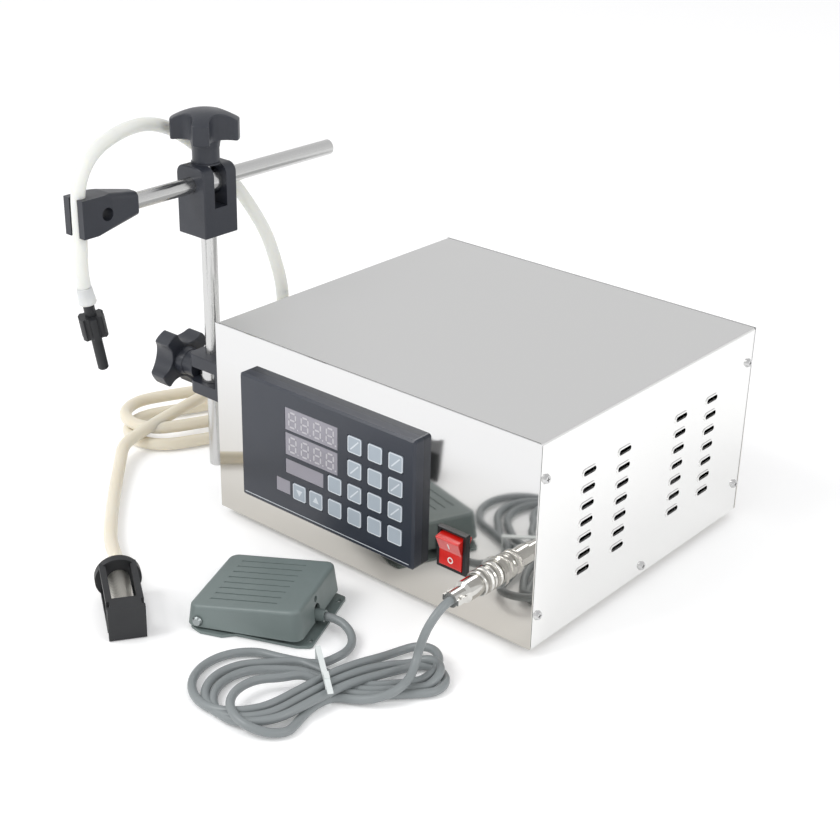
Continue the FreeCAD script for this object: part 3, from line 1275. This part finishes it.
def make_pedal_base():
    n, w, t = D.pedal_length / 2, D.pedal_width / 2, D.plate
    inset = D.plate_inset
    b = Body("pedal_base")
    sk = b.sketch("plate_outline", "XY")
    half = D.plate_width / 2
    x1, x2, y1 = n + D.plate_reach, n - 4, w - inset
    tab = D.tab_x
    reach = w + D.tab_out
    outline(sk, [(-n + inset, -w + inset), (tab - 8, -reach), (tab + 8, -reach),
                 (tab + 16, -y1), (x2, -y1), (x1, -half), (x1, half), (x2, y1),
                 (-n + inset, y1)])
    b.pad("plate", sk, t)
    b.round("plate_corners", 3, lambda e: upright(e, "z"))
    sk = b.sketch("plate_holes", "XY", t)
    circle(sk, n + D.hole_reach, half - 6, D.tab_hole)
    circle(sk, n + D.hole_reach, 6 - half, D.tab_hole)
    b.removes(b.pocket("holes", sk, t))
    ear = D.ear_sheet
    inner = w - D.pedal_wall - D.corner_spare - 2.5
    sk = b.sketch("ear_outline", "XZ", inner - ear)
    px, pz = D.pin_x, D.pin_z
    outline(sk, [(px - 5.5, t), (px + 5.5, t), (px + 4, t + D.ear_height - 2),
                 (px - 4, t + D.ear_height - 2)])
    first = b.pad("ear", sk, ear)
    b.mirror("ears", (first,), "XZ")
    sk = b.sketch("pin_circle", "XZ", w + 1)
    circle(sk, px, pz, D.pin_radius + D.running_gap)
    b.removes(b.pocket("pin_bore", sk, w * 2 + 2))
    wall = n - D.pedal_wall * 2 - D.gland_wall - 3
    sk = b.sketch("post_outline", "YZ", wall)
    g, y, high = D.gland_radius + 1.5, D.gland_y, D.gland_z + D.gland_radius
    outline(sk, [(y - g, t), (y + g, t), (y + g, high), (y - g, high)])
    b.pad("gland_post", sk, D.gland_wall)
    sk = b.sketch("gland_circle", "YZ", wall)
    circle(sk, y, D.gland_z, D.gland_radius)
    b.pad("gland", sk, n + D.gland_length - wall - 2)
    sk = b.sketch("seat_outline", "XY", t)
    rectangle(sk, D.pedal_wall, 0, D.microswitch_length, D.microswitch_width + 2)
    b.pad("switch_seat", sk, D.switch_post)
    pedal_place(b.body)
    piece(b.body, "pedal_base")

    span = w + 0.4
    pin_ = cylinder("pin_rod", (px, -span, pz), "+Y", D.pin_radius, span * 2)
    heads = [cone("pin_head", (px, span * s, pz), way, D.pin_head_radius,
                  D.pin_head_radius * 0.7, D.pin_head) for s, way in ((-1, "-Y"), (1, "+Y"))]
    piece(pedal_place(fuse("pedal_pin", pin_, *heads)), "pedal_pin")

    low = t + D.switch_post
    half_l, half_w = D.microswitch_length / 2, D.microswitch_width / 2
    x = D.pedal_wall
    top = low + D.microswitch_height
    slope = (D.pedal_high - D.pedal_low) / (D.pedal_length + 2)
    under = D.pedal_low + (x + 6 + n + 1) * slope - D.pedal_wall - D.rib_height
    piece(pedal_place(fuse(
        "pedal_switch", box("switch_case", (x - half_l, x + half_l), (-half_w, half_w),
                            (low, top)),
        cylinder("plunger", (x + 6, 0, top), "+Z", D.plunger_radius,
                 under - top - D.plunger_gap))), "pedal_switch")


def make_cables():
    r = number(D.cable_radius)
    ex, ey, ez = (number(SOCKET_X), number(-(HALF_D + D.plug_tail)),
                  number(BASE + D.socket_z))
    lead = [(ex, ey + 6.5, ez), (ex, ey - 3, ez), (ex - 0.6, ey - 11.6, ez - 3.9),
            (ex - 2.2, ey - 18, ez - 11), (ex - 4.4, ey - 21, ez - 20.2),
            (ex - 6.9, ey - 21.8, ez - 29.8), (ex - 9, ey - 22, number(D.hank_height))]
    tube("cable_lead", lead, r)
    out = pedal_exit()
    second = [out + V(*step) for step in (
        (0, 0, 0), (8.2, 3.1, -0.6), (17, 3, -2.7), (25, -0.7, -4.8), (30.7, -7.3, -6.1),
        (33.6, -15.7, -5.9), (34.2, -24.5, -4.5))]
    tube("pedal_lead", [tuple(p) for p in second], r)


def pedal_exit():
    """Where the cable leaves the pedal's gland."""
    a = math.radians(number(D.pedal_turn))
    away, left = V(math.cos(a), math.sin(a)), V(-math.sin(a), math.cos(a))
    reach = number(D.pedal_length / 2 + D.gland_length - 2)
    return (V(number(D.pedal_x), number(D.pedal_y)) + away * reach + left * number(D.gland_y)
            + V(0, 0, number(D.gland_z)))


def make_hank():
    """The tied cable: a flat bundle with a wide loop, a waist and a narrow loop."""
    b = Body("hank")
    n, w, q, e = D.hank_length / 2, D.hank_loop / 2, D.hank_waist / 2, D.hank_end / 2
    high, t = D.hank_height, D.tie_sheet + D.tie_gap
    neck = D.tie_width / 2 + D.tie_gap
    f = neck + 2.2
    sk = b.sketch("outline", "XY")
    outline(sk, [(-n, -w * 0.3), (-n * 0.75, -w * 0.95), (-n * 0.45, -w), (-f, -q), (f, -q),
                 (n * 0.3, -e), (n * 0.75, -e), (n, -e * 0.35), (n, e * 0.55),
                 (n * 0.8, e * 0.92), (f, e * 0.92), (-f, q), (-n * 0.65, w * 0.95),
                 (-n * 0.9, w * 0.75), (-n, w * 0.35)])
    b.pad("bundle", sk, high)
    b.round("corners", D.hank_round * 2, lambda e: upright(e, "z")
            and abs(e.BoundBox.Center.x) > 8)
    far, inner = w + 5, q - t
    sleeve = cut("neck_cut", box("neck_outer", (-neck, neck), (-far, far), (-1, high + 1)),
                 box("neck_inner", (-neck - 1, neck + 1), (-inner, inner), (t, high - t)))
    piece(place(cut("cable_bundle", b.body, sleeve), (D.hank_x, D.hank_y, 0), "z",
                D.hank_turn), "cable_bundle")

    half, s = D.tie_width / 2, D.tie_sheet
    low, reach = D.tie_gap / 2, q - D.tie_gap / 2
    top = high - D.tie_gap / 2
    ring = cut("tie_ring", box("tie_outer", (-half, half), (-reach, reach), (low, top)),
               box("tie_inner", (-half - 1, half + 1), (s - reach, reach - s),
                   (low + s, top - s)))
    neck_y = -q / 2 - D.tie_head
    head = box("tie_head", (-half, half), (neck_y, -q / 2), (top, top + 3.5))
    tail = box("tie_tail", (-half, half), (neck_y - D.tie_tail, neck_y), (top + 1, top + 1 + s))
    piece(place(fuse("cable_tie", ring, head, tail), (D.hank_x, D.hank_y, 0), "z", D.hank_turn),
          "cable_tie")


for make in (make_cover, make_chassis, make_screws, make_feet, make_panel, make_displays,
             make_board, make_rocker_switch, make_connector, make_mains_inlet, make_pump,
             make_supply, make_ports, make_stand, make_fork, make_nozzle, make_coil,
             make_strainer, make_pedal, make_hank, make_hoses, make_cables):
    make()
for key, (kx, kz) in key_points().items():
    make_key(key, kx, kz)

doc.recompute()
for obj in doc.Objects:
    if {"Invalid", "Error"} & set(obj.State):
        raise RuntimeError(f"{obj.Name} failed: {obj.State}")
for obj in PIECES:
    if obj.Shape.isNull() or not obj.Shape.isValid() or obj.Shape.Volume <= 0:
        raise RuntimeError(f"{obj.Label} has no valid shape")
os.makedirs("parts", exist_ok=True)
for obj in PIECES:
    obj.Shape.exportStep(f"parts/{obj.Label}.step")
print(len(PIECES), "pieces,", sum(len(obj.Shape.Solids) for obj in PIECES), "solids")
